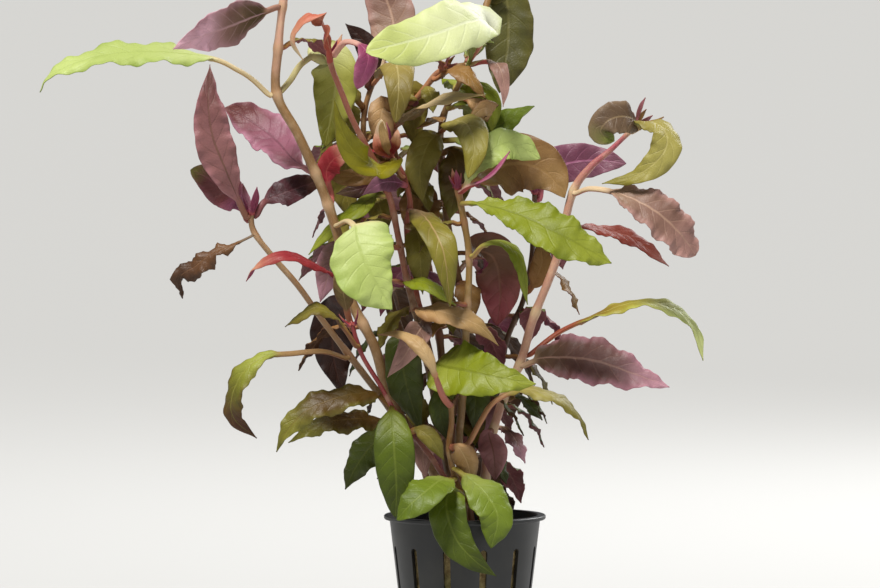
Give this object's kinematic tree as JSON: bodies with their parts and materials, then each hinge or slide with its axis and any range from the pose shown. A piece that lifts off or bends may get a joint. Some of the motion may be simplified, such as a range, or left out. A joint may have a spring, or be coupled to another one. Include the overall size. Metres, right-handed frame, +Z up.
{
  "type": "potted alternanthera reineckii",
  "caption": "Bunch of leafy aquarium plant stems with paired green, mauve and pink leaves, standing in a slotted net pot with a mineral wool plug.",
  "frame": {"origin": "middle of the net pot's underside", "axes": "+Z up, +X to the right of the view in the picture, -Y towards the camera"},
  "size_m": [0.2198, 0.1101, 0.2403],
  "materials": {
    "pot_plastic": "satin",
    "mineral_wool": "matte",
    "stem_tan": "satin",
    "stem_red": "satin",
    "stem_brown": "satin",
    "leaf_lime": "satin",
    "leaf_green": "satin",
    "leaf_olive": "satin",
    "leaf_tan": "satin",
    "leaf_mauve": "satin",
    "leaf_purple": "satin",
    "leaf_crimson": "satin",
    "leaf_dry": "matte"
  },
  "bodies": {
    "root": {"net_pot": "pot_plastic", "wool_plug": "mineral_wool", "stem_1": "stem_tan", "stem_2": "stem_tan", "stem_3": "stem_red", "stem_4": "stem_red", "stem_5": "stem_brown", "stem_6": "stem_red", "stem_7": "stem_brown", "stem_8": "stem_tan", "stem_9": "stem_brown", "stem_10": "stem_tan", "stem_11": "stem_brown", "stem_12": "stem_tan", "leaf_long_left": "leaf_lime", "leaf_top_left": "leaf_mauve", "leaf_left_upright": "leaf_mauve", "leaf_left_mauve": "leaf_mauve", "leaf_dark_mauve": "leaf_purple", "leaf_withered": "leaf_dry", "leaf_crimson_arch": "leaf_crimson", "leaf_low_left": "leaf_green", "leaf_olive_arch": "leaf_olive", "leaf_brown_low": "leaf_olive", "leaf_brown_under": "leaf_olive", "leaf_front_hanging": "leaf_green", "leaf_low_red_brown": "leaf_olive", "leaf_lime_broad": "leaf_lime", "leaf_purple_hanging": "leaf_purple", "leaf_coral_curl": "leaf_crimson", "leaf_grey_mauve_top": "leaf_mauve", "leaf_hanging_green": "leaf_green", "leaf_glowing": "leaf_lime", "leaf_pink_midrib": "leaf_green", "leaf_cream_hanging": "leaf_tan", "leaf_pale_top": "leaf_lime", "leaf_dark_olive_top": "leaf_olive", "leaf_green_right": "leaf_green", "leaf_cream_tan": "leaf_tan", "leaf_cream_olive": "leaf_tan", "leaf_tan_broad": "leaf_tan", "leaf_yellow_green_right": "leaf_lime", "leaf_purple_right": "leaf_purple", "leaf_brown_curl": "leaf_olive", "leaf_yellow_curl": "leaf_green", "leaf_dusty_mauve_right": "leaf_mauve", "leaf_long_right_arch": "leaf_green", "leaf_big_mauve_right": "leaf_mauve", "leaf_bright_middle": "leaf_green", "leaf_tan_strip": "leaf_tan", "leaf_peach": "leaf_tan", "leaf_rose_hanging": "leaf_mauve", "leaf_dark_inner": "leaf_olive", "leaf_foot_light_green": "leaf_green", "leaf_foot_long_green": "leaf_green", "leaf_foot_right": "leaf_green", "leaf_low_right_arch": "leaf_tan", "leaf_back_left": "leaf_green", "leaf_back_right": "leaf_green"}
  },
  "joints": []
}
